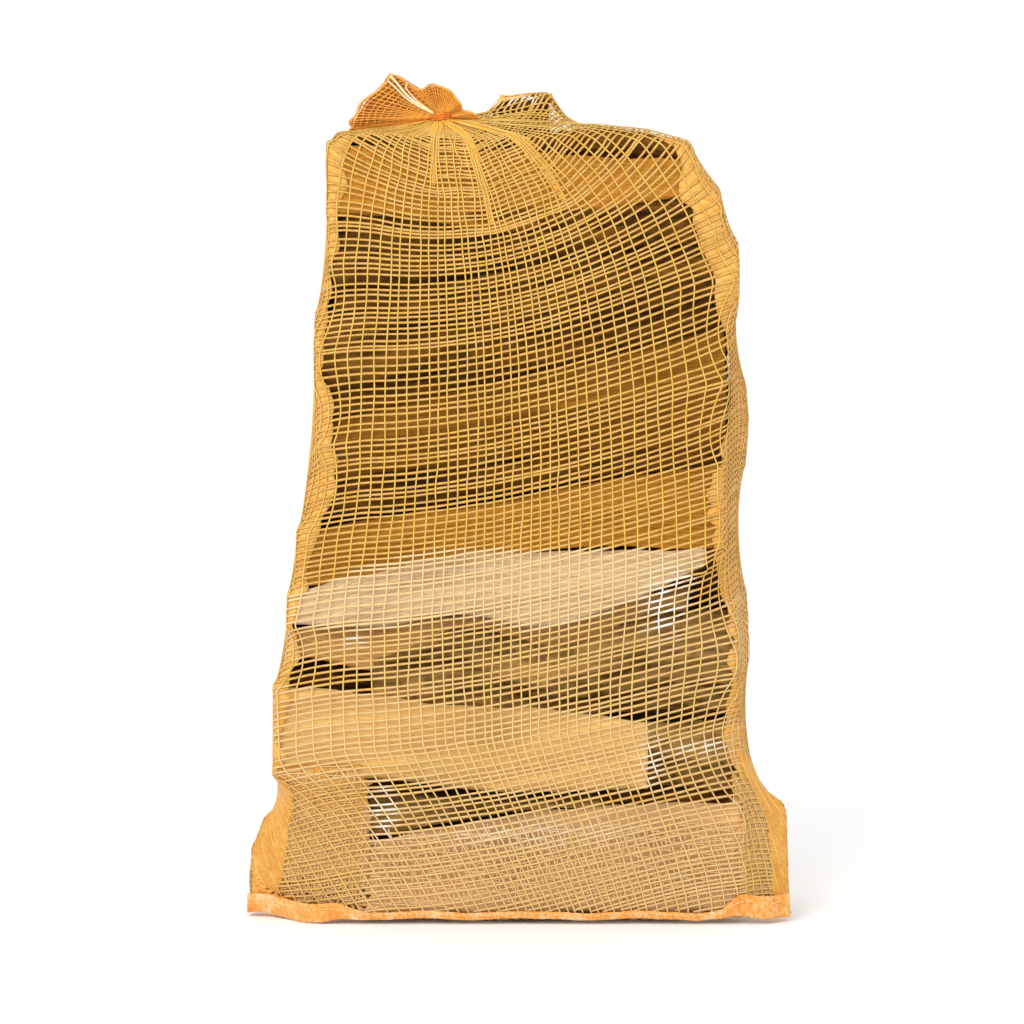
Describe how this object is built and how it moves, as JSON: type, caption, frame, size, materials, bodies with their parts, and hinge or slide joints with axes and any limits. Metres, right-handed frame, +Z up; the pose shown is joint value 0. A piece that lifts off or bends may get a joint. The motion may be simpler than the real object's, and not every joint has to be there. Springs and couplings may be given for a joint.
{
  "type": "net of firewood",
  "caption": "Tall pillow-shaped net bag of split firewood stacked crosswise, with a sewn hem, two loose bottom corners and a gathered, tied mouth; holds and carries logs for a stove.",
  "frame": {"origin": "middle of the footprint, on the surface that the net stands on", "axes": "+Z up towards the tied mouth, -Y out of the front face, +X to the right along the logs"},
  "size_m": [0.4, 0.116, 0.6203],
  "materials": {
    "firewood": "air-dried split logs with rough bark, seen through an open net",
    "net": "golden-orange woven polymer tape with a soft gloss"
  },
  "bodies": {
    "root": {"filled_net": "firewood", "bottom_hem": "net", "tie_ring": "net", "gathered_mouth": "net"}
  },
  "joints": []
}
